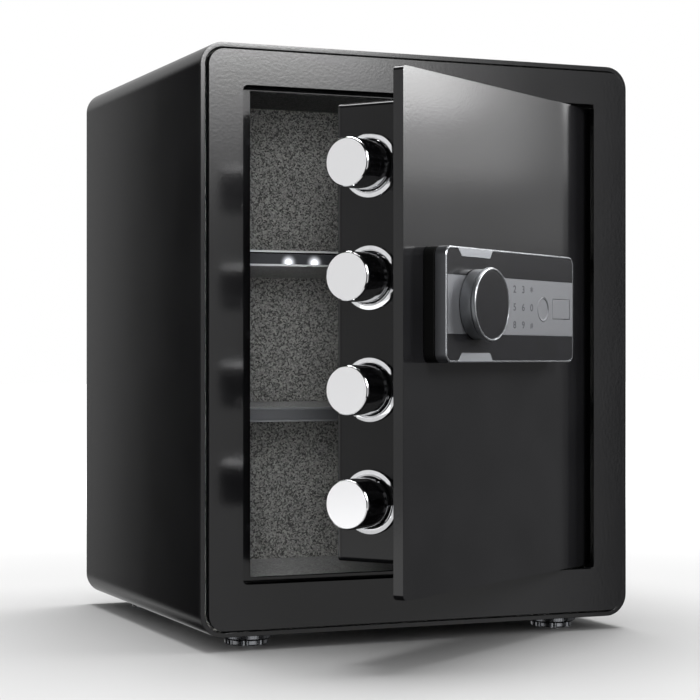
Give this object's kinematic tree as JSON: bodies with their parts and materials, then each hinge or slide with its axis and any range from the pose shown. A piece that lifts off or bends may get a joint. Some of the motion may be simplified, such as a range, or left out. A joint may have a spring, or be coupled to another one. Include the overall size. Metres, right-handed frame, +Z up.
{
  "type": "electronic home safe",
  "caption": "Upright black steel safe with a thick hinged door, round chrome locking bolts, knob and touch keypad panel, and felt-lined shelves inside.",
  "frame": {"origin": "middle of the footprint at floor level, with the door standing 34.7 degrees open as stored", "axes": "+X to the right seen from the front, +Y from front to back, +Z up"},
  "size_m": [0.36, 0.4694, 0.45],
  "materials": {
    "black_paint": "satin black powder coat with a faint orange peel",
    "felt": "speckled dark grey needle felt",
    "chrome": "bright chrome plate",
    "shelf_trim": "polished dark steel trim",
    "led_lens": "frosted lens over small white lights",
    "zinc_steel": "zinc-plated steel",
    "brass": "machined brass",
    "black_plastic": "fine-grained black moulding",
    "satin_grey_metal": "satin anodised grey",
    "black_glass": "smooth black acrylic",
    "circuit": "green solder mask"
  },
  "bodies": {
    "cabinet": {"shell": "black_paint", "back_plate": "black_paint", "front_frame": "black_paint", "hinge_jamb": "black_paint", "felt_ceiling": "felt", "felt_base": "felt", "felt_left": "felt", "felt_right": "felt", "felt_back": "felt", "floor_board": "felt", "upper_shelf": "felt", "upper_shelf_trim": "shelf_trim", "led_bar": "led_lens", "lower_shelf": "felt", "lower_shelf_trim": "shelf_trim", "upper_rail_left": "zinc_steel", "upper_rail_right": "zinc_steel", "lower_rail_left": "zinc_steel", "lower_rail_right": "zinc_steel", "foot_front_left": "chrome", "foot_front_right": "chrome", "foot_back_left": "chrome", "foot_back_right": "chrome", "hinge_bracket_upper": "black_paint", "hinge_bracket_lower": "black_paint", "hinge_pin_upper": "zinc_steel", "hinge_pin_lower": "zinc_steel"},
    "door": {"door_plate": "black_paint", "door_box": "black_paint", "door_cover": "black_paint", "hinge_bush_upper": "brass", "hinge_bush_lower": "brass", "bolt_ring_1": "chrome", "bolt_ring_2": "chrome", "bolt_ring_3": "chrome", "bolt_ring_4": "chrome", "bolt_guide": "zinc_steel", "lock_base": "black_plastic", "lock_bezel": "satin_grey_metal", "glass_upper": "black_glass", "glass_lower": "black_glass", "keypad_band": "satin_grey_metal", "fingerprint_sensor": "satin_grey_metal", "key_cylinder": "brass", "solenoid": "zinc_steel", "circuit_board": "circuit", "battery_tray": "black_plastic"},
    "bolts": {"bolt_1": "chrome", "bolt_2": "chrome", "bolt_3": "chrome", "bolt_4": "chrome", "bolt_bar": "zinc_steel"},
    "knob": {"knob": "satin_grey_metal", "knob_cap": "black_glass", "crank_spindle": "zinc_steel"},
    "plunger": {"plunger": "zinc_steel"},
    "key_flap": {"key_flap": "satin_grey_metal"},
    "battery_lid": {"battery_lid": "black_plastic"}
  },
  "joints": [
    {"name": "door_swing", "type": "hinge", "parent": "cabinet", "child": "door", "pos_m": [0.1205, -0.0609, 0.25], "axis": [0, 0, 1], "range_deg": [-34.7, 57.3]},
    {"name": "bolt_slide", "type": "slide", "parent": "door", "child": "bolts", "axis": [0.8221, 0.5693, 0], "range_m": [0, 0.028]},
    {"name": "knob_turn", "type": "hinge", "parent": "door", "child": "knob", "pos_m": [-0.01762, -0.20872, 0.2543], "axis": [-0.5693, 0.8221, 0], "range_deg": [0, 80]},
    {"name": "plunger_slide", "type": "slide", "parent": "door", "child": "plunger", "axis": [0, 0, -1], "range_m": [0, 0.01]},
    {"name": "key_flap_swing", "type": "hinge", "parent": "door", "child": "key_flap", "pos_m": [0.10339, -0.1242, 0.2538], "axis": [0, 0, 1], "range_deg": [0, 95]},
    {"name": "battery_lid_swing", "type": "hinge", "parent": "door", "child": "battery_lid", "pos_m": [0.05655, -0.05927, 0.1215], "axis": [0, 0, -1], "range_deg": [0, 100]}
  ],
  "couplings": [
    {"joint": "knob_turn", "follows": "bolt_slide", "rad_per_m": 49.86}
  ]
}
